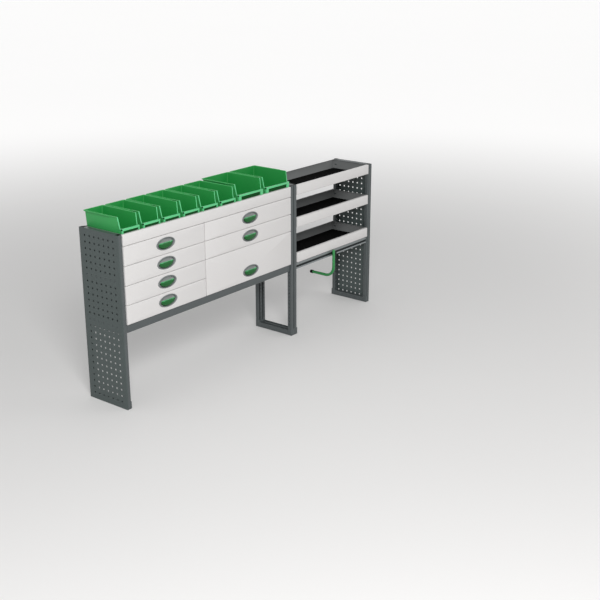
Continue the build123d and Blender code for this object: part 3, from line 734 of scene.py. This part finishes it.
# Mats on the shelves: 3 mm black rubber with fine ribs along the rack, laid loose. Rubber is dull
# and nearly black. The ribs are drawn at a 6 mm pitch, coarser than the real 3 mm, to show at all.
rib_pitch = 6.0
rib_depth = 0.6
dust_patch = 120.0
rubber = bpy.data.materials.new("Ribbed rubber, black")
rubber.use_nodes = True
tree = rubber.node_tree
tree.nodes.clear()
place = add(tree, "ShaderNodeTexCoord").outputs["Object"]
ribs = add(tree, "ShaderNodeTexWave", {"bands_direction": "Y"},
           {"Scale": 1 / (rib_pitch * mm) / math.pi}, {"Vector": place})
dust = add(tree, "ShaderNodeTexNoise", values={"Scale": 1 / (dust_patch * mm), "Detail": 4},
           links={"Vector": place})
tint = add(tree, "ShaderNodeMix", {"data_type": "RGBA"},
           {6: linear_colour("#020202"), 7: linear_colour("#060606")}, {0: dust.outputs[0]})
bump = add(tree, "ShaderNodeBump", values={"Strength": 0.6, "Distance": rib_depth * mm},
           links={"Height": ribs.outputs["Fac"]})
shader = add(tree, "ShaderNodeBsdfPrincipled", values={"Roughness": 1.0, "Specular IOR Level": 0.05},
             links={"Base Color": tint.outputs[2], "Normal": bump.outputs[0]})
add(tree, "ShaderNodeOutputMaterial", links={"Surface": shader.outputs[0]})
dress("shelf_mats", rubber)

# Storage bins: green injection-moulded polypropylene, with tapering 2 mm walls, a label holder on a
# low front, and a bead that widens at the rear into grooved ledges for stacking. The bead of the
# mouth, the label bar and its tabs are painted a paler green as painted highlight, the inside a deeper
# green as painted shade, and a dark green block under the label bar is painted shade.
bin_green = finish("Moulded polypropylene, green", ("#3fad5d", "#39a557"), 90.0, 1.2, 0.02,
                   Roughness=0.4, **{"Specular IOR Level": 0.35})
highlight_green = finish("Moulded polypropylene, painted highlight", ("#62cd8b", "#5ac582"), 60.0, 1.2,
                    0.02, Roughness=0.3)
shaded_inside_green = finish("Moulded polypropylene inside, painted shade", ("#228f41", "#1d863b"), 90.0, 1.2,
                    0.02, Roughness=0.5, **{"Specular IOR Level": 0.2})
label_shade_green = finish("Moulded polypropylene, painted shade under the label bar", ("#0a4a1c", "#073f16"), 40.0, 1.2, 0.02,
                    Roughness=0.6, **{"Specular IOR Level": 0.1})
bin_wall = 2.0
bin_bead = 4.0
bin_bead_height = 5.0
bin_corner = 9.0
bin_corner_steps = 5
bin_back_taper = 3.0
mouth_foot = 7.0
mouth_setback = 18.0
ledge_start = 75.0
ledge_ramp = 0.5
ledge_reach = 5.5
ledge_groove = 1.6
label_depth = 13.0
label_bar_height = 12.0
label_edge = 1.0
label_shade_depth = 5.0
label_shade_inset = 1.0
small_bin = {"base": 110.0, "front": 93.0, "label": 126.0, "tab": 6.0}
large_bin = {"base": 211.0, "front": 101.0, "label": 226.0, "tab": 22.0}
large_bin_width = 200.0
side_stations = (mouth_foot + bin_bead, mouth_setback, mouth_setback + bin_bead,
                 ledge_start - ledge_ramp, ledge_start)
bead_bands = range(3, 14)
inner_bands = range(14, 18)


def bin_ring(halves, depths, height, rise, out, ledge=0.0):
    """A ring round the bin: halves and depths are its half widths at the foot and the top, and its
    front and back. rise gives the ring's height for each distance from the front."""
    corners = ((-1, -1, 180), (1, -1, 270), (1, 1, 0), (-1, 1, 90))
    stations = {1: side_stations, 3: side_stations[::-1]}
    front, back = depths
    reach = bin_corner + out
    points = []

    def put(side, across, y, swing):
        """Puts a point at a share of the corner's turn, or on a side."""
        z = rise(y - front)
        half = halves[0] + (halves[1] - halves[0]) * z / height - bin_corner
        spread = ledge if y - front >= ledge_start else 0.0
        if swing > 0:
            y -= bin_back_taper * (1 - z / height)
        points.append((side * (half + spread) + across, y, z))

    for place_in_turn, (side, end, start) in enumerate(corners):
        for step in range(bin_corner_steps + 1):
            turn = math.radians(start + 90 * step / bin_corner_steps)
            middle = front + bin_corner if end < 0 else back - bin_corner
            put(side, reach * math.cos(turn), middle + reach * math.sin(turn), end)
        for station in stations.get(place_in_turn, ()):
            put(side, side * reach, front + station, 0)
    return points


lip_top = span("bin_tray_fascia")[1].z
bin_count = 8
for number in range(1, bin_count + 1):
    name = f"bin_{number}"
    low, high = span(name)
    size = large_bin if high.x - low.x > large_bin_width else small_bin
    x_centre = (low.x + high.x) / 2
    y0 = low.y + label_depth
    height = high.z - low.z
    slope = (height - size["front"]) / (mouth_setback - mouth_foot)
    halves = (size["base"] / 2, (high.x - low.x) / 2 - ledge_reach - bin_bead)

    def top(distance, drop=0.0):
        """The height of the bin's edge at a distance from its front."""
        return min(max(size["front"] + (distance - mouth_foot) * slope, size["front"]), height) - drop

    def under(distance):
        """The height of the bead's lower side."""
        return top(distance - bin_bead, bin_bead_height)

    def groove(distance):
        """The bead's top, sunk over the ledges."""
        return top(distance, ledge_groove if distance >= ledge_start else 0.0)

    # Each ring from the foot over the bead to the inside: its height, its stand-out and its ledge.
    shell = [
        (lambda distance: 0.0, -3.0, 0.0),
        (lambda distance: 0.8, -0.8, 0.0),
        (lambda distance: 3.0, 0.0, 0.0),
        (under, 0.0, 0.0),
        (under, bin_bead - 0.6, ledge_reach),
        (lambda distance: under(distance) + 0.8, bin_bead, ledge_reach),
        (lambda distance: top(distance, 1.0), bin_bead, ledge_reach),
        (lambda distance: top(distance, 0.2), bin_bead - 0.5, ledge_reach),
        (top, bin_bead - 1.2, ledge_reach),
        (groove, bin_bead - 1.8, ledge_reach),
        (groove, bin_bead - 2.1, 0.0),
        (top, bin_bead - 2.6, 0.0),
        (top, -0.6, 0.0),
        (lambda distance: top(distance, 0.4), -1.5, 0.0),
        (lambda distance: top(distance, 1.4), -bin_wall, 0.0),
        (lambda distance: 5.0, -bin_wall, 0.0),
        (lambda distance: 2.6, -bin_wall - 0.8, 0.0),
        (lambda distance: 2.0, -bin_wall - 3.0, 0.0),
    ]
    tub = bmesh.new()
    rings = [bin_ring(halves, (y0, high.y - bin_bead), height, *band) for band in shell]
    # The bead's bands take the pale green, a painted highlight, kept only at the mouth below; the
    # inner bands take the deeper green, painted shade.
    loft(tub, [[(x_centre + x, y, low.z + z) for x, y, z in ring] for ring in rings],
         accents=dict.fromkeys(bead_bands, 1) | dict.fromkeys(inner_bands, 2))
    for face in tub.faces:
        behind_mouth = face.calc_center_median().y / mm > y0 + mouth_setback + bin_bead
        if face.material_index == 1 and behind_mouth:
            face.material_index = 0
    label_top = low.z + size["front"]
    half = size["label"] / 2
    # The label bar and its tabs take the pale green: painted highlight.
    soft_block(tub, (x_centre - half, y0 - label_depth, label_top - label_bar_height),
               (x_centre + half, y0 + bin_wall / 2, label_top), label_edge, coat=1)
    # A dark green block fills the recess under the label bar between the tabs: painted shade, put
    # where there is only shade.
    slot_half = half - label_shade_inset
    soft_block(tub, (x_centre - slot_half, y0 - label_shade_depth, lip_top + label_edge),
               (x_centre + slot_half, y0 + bin_wall / 2, label_top - label_edge), label_edge, coat=3)
    for side in (-1, 1):
        ends = sorted((x_centre + side * half, x_centre + side * (half - size["tab"])))
        soft_block(tub, (ends[0], y0 - label_depth + label_edge / 2, lip_top + label_edge),
                   (ends[1], y0 + bin_wall / 2, label_top - label_edge), label_edge, coat=1)
    show(name, tub, [bin_green, highlight_green, shaded_inside_green, label_shade_green], name, [name],
         crease=40.0)

# The hook: a 20 mm steel tube with a domed top, bent once and powder-coated a glossy green. A
# black rubber cap covers its end, and a black moulded clamp holds it on the grooved rail.
hook_coat = finish("Glossy powder coat, green", ("#2f8f4a", "#2a8744"), 120.0, 2.0, 0.02,
                   Roughness=0.22)
cap_rubber = finish("Rubber, black", ("#0a0a0a", "#060606"), 20.0, 0.8, 0.03, Roughness=0.6,
                    **{"Specular IOR Level": 0.1})
clamp_nylon = finish("Moulded nylon, black", ("#0a0a0a", "#060606"), 30.0, 0.8, 0.03, Roughness=0.45,
                     **{"Specular IOR Level": 0.15})
hook_radius = 10.0
hook_bend = 68.0
hook_sides = 32
hook_bend_slices = 16
dome_slices = 5
dome_tip = 0.4
cap_radius = 12.0
cap_edge = 5.0
cap_chamfer = 0.8
clamp_corner = 10.0
clamp_sheet = 4.0
clamp_gap = 0.4
clamp_start = 16.0
clamp_saddle = (4.0, 20.0)
clamp_saddle_reach = 2.0
clamp_saddle_inset = 4.0
clamp_saddle_edge = 1.0
clamp_neck_width = 18.0
clamp_neck_start = 2.0
clamp_neck_play = 1.0
clamp_neck_edge = 0.5
low, high = span("hook_bar")
x_hook = (low.x + high.x) / 2
y_hook = low.y + hook_radius
z_arm = low.z + hook_radius


def tube_ring(y, z, lean, radius):
    """A ring round the tube's line at (y, z), leaning from level (0) to upright (90 degrees)."""
    ring = []
    for index in range(hook_sides):
        turn = math.tau * index / hook_sides
        across, along = radius * math.cos(turn), radius * math.sin(turn)
        ring.append((x_hook + across, y + along * math.cos(lean), z + along * math.sin(lean)))
    return ring


line = []
for step in range(dome_slices):
    lift = math.pi / 2 * (1 - step / dome_slices)
    radius = max(hook_radius * math.cos(lift), dome_tip)
    line.append(tube_ring(y_hook, high.z - hook_radius * (1 - math.sin(lift)), 0, radius))
for step in range(hook_bend_slices + 1):
    lean = math.pi / 2 * step / hook_bend_slices
    line.append(tube_ring(y_hook + hook_bend * (1 - math.cos(lean)),
                          z_arm + hook_bend * (1 - math.sin(lean)), lean, hook_radius))
line.append(tube_ring(high.y, z_arm, math.pi / 2, hook_radius))
bar = bmesh.new()
loft(bar, line)
show("hook_bar", bar, [hook_coat], "hook", ["hook_bar"], crease=50.0)

low, high = span("hook_cap")
cap = bmesh.new()
rings = [tube_ring(low.y, z_arm, math.pi / 2, cap_radius - cap_chamfer),
         tube_ring(low.y + cap_chamfer, z_arm, math.pi / 2, cap_radius)]
for step in range(dome_slices + 1):
    lift = math.pi / 2 * step / dome_slices
    rings.append(tube_ring(high.y - cap_edge * (1 - math.sin(lift)), z_arm, math.pi / 2,
                           cap_radius - cap_edge * (1 - math.cos(lift))))
loft(cap, rings)
show("hook_cap", cap, [cap_rubber], "hook", ["hook_cap"], crease=50.0)

low, high = span("hook_clamp")
rail_front = span("hook_rail")[0].y
clamp = bmesh.new()
folded_front(clamp, x_hook + clamp_start, high.x, low.z, high.z, low.y, rail_front - clamp_gap,
             clamp_sheet, clamp_sheet - 1, clamp_corner)
soft_block(clamp, (x_hook + clamp_saddle[0], y_hook + hook_radius - clamp_saddle_reach,
                   low.z + clamp_saddle_inset),
           (x_hook + clamp_saddle[1], low.y + clamp_sheet, high.z - clamp_saddle_inset),
           clamp_saddle_edge)
neck_middle = (x_hook + clamp_start + high.x) / 2
soft_block(clamp, (neck_middle - clamp_neck_width / 2, rail_front - clamp_neck_start,
                   slot_bottom + clamp_neck_play),
           (neck_middle + clamp_neck_width / 2, rail_front + slot_lip + slot_depth / 2,
            slot_top - clamp_neck_play), clamp_neck_edge)
show("hook_clamp", clamp, [clamp_nylon], "hook", ["hook_clamp"])

# The studio: a pale floor, soft light from a bright sky and two large lamps, and the camera where
# the photograph was taken from. The camera and reflections see a white sky, and a floor that glows
# towards white with its distance; the glow lights nothing.
floor_side = 90.0
floor_tones = ("#d6d5d4", "#dad9d8")
cloud_scale = 0.35
sky_light = 0.42
glow_start = 1.8
glow_end = 9.0
near_glow = 0.13
far_glow = 0.62


def background_rays(tree):
    """One where the camera, a reflection or a clear body looks, and zero for light on the object."""
    path = add(tree, "ShaderNodeLightPath").outputs
    mirrored = add(tree, "ShaderNodeMath", {"operation": "MAXIMUM"},
                   links={0: path["Is Camera Ray"], 1: path["Is Glossy Ray"]})
    return add(tree, "ShaderNodeMath", {"operation": "MAXIMUM"},
               links={0: mirrored.outputs[0], 1: path["Is Transmission Ray"]}).outputs[0]


floor_paint = bpy.data.materials.new("Matt studio floor, pale")
floor_paint.use_nodes = True
tree = floor_paint.node_tree
tree.nodes.clear()
place = add(tree, "ShaderNodeTexCoord").outputs["Object"]
cloud = add(tree, "ShaderNodeTexNoise", values={"Scale": cloud_scale, "Detail": 3},
            links={"Vector": place})
tint = add(tree, "ShaderNodeMix", {"data_type": "RGBA"},
           {6: linear_colour(floor_tones[0]), 7: linear_colour(floor_tones[1])},
           {0: cloud.outputs[0]})
paint = add(tree, "ShaderNodeBsdfPrincipled", values={"Roughness": 0.75, "Specular IOR Level": 0.3},
            links={"Base Color": tint.outputs[2]})
distance = add(tree, "ShaderNodeVectorMath", {"operation": "LENGTH"}, links={0: place})
glow = add(tree, "ShaderNodeMapRange", {"interpolation_type": "SMOOTHSTEP"},
           {"From Min": glow_start, "From Max": glow_end, "To Min": near_glow, "To Max": far_glow},
           {"Value": distance.outputs["Value"]})
seen = add(tree, "ShaderNodeMath", {"operation": "MULTIPLY"},
           links={0: glow.outputs[0], 1: background_rays(tree)})
light = add(tree, "ShaderNodeEmission", links={"Strength": seen.outputs[0]})
both = add(tree, "ShaderNodeAddShader", links={0: paint.outputs[0], 1: light.outputs[0]})
add(tree, "ShaderNodeOutputMaterial", links={"Surface": both.outputs[0]})
studio = bmesh.new()
bmesh.ops.create_grid(studio, x_segments=1, y_segments=1, size=floor_side / 2)
floor_mesh = mesh_of(studio, "Floor")
floor_mesh.materials.append(floor_paint)
floor = bpy.data.objects.new("Floor", floor_mesh)
bpy.context.scene.collection.objects.link(floor)

world = bpy.data.worlds.new("Studio sky")
world.use_nodes = True
tree = world.node_tree
strength = add(tree, "ShaderNodeMath", {"operation": "MULTIPLY_ADD"}, {1: 1 - sky_light, 2: sky_light},
               {0: background_rays(tree)})
background = tree.nodes["Background"]
background.inputs["Color"].default_value = (1, 1, 1, 1)
tree.links.new(strength.outputs[0], background.inputs["Strength"])
bpy.context.scene.world = world


def lamp(name, place, target, size, watts):
    """A square soft lamp that faces a point; places in metres."""
    light = bpy.data.lights.new(name, "AREA")
    light.shape = "SQUARE"
    light.size = size
    light.energy = watts
    shown = bpy.data.objects.new(name, light)
    shown.location = place
    shown.rotation_euler = (Vector(target) - Vector(place)).to_track_quat("-Z", "Y").to_euler()
    bpy.context.scene.collection.objects.link(shown)


rack_middle = (0, 0, 0.5)
lamp("Key lamp", (-4.2, -4.4, 4.0), rack_middle, 2.0, 250)
lamp("Fill lamp", (3.0, -4.0, 3.5), rack_middle, 3.0, 32)

camera_place = Vector((-4.911, -4.310, 2.565))
camera_turn = math.radians(51.90)
camera_dip = math.radians(19.12)
camera_data = bpy.data.cameras.new("Camera")
camera_data.sensor_width = 36.0
camera_data.lens = 63.3
camera = bpy.data.objects.new("Camera", camera_data)
camera.location = camera_place
view = Vector((math.sin(camera_turn) * math.cos(camera_dip),
               math.cos(camera_turn) * math.cos(camera_dip), -math.sin(camera_dip)))
camera.rotation_euler = view.to_track_quat("-Z", "Y").to_euler()
bpy.context.scene.collection.objects.link(camera)
bpy.context.scene.camera = camera
bpy.context.scene.view_settings.view_transform = "Standard"
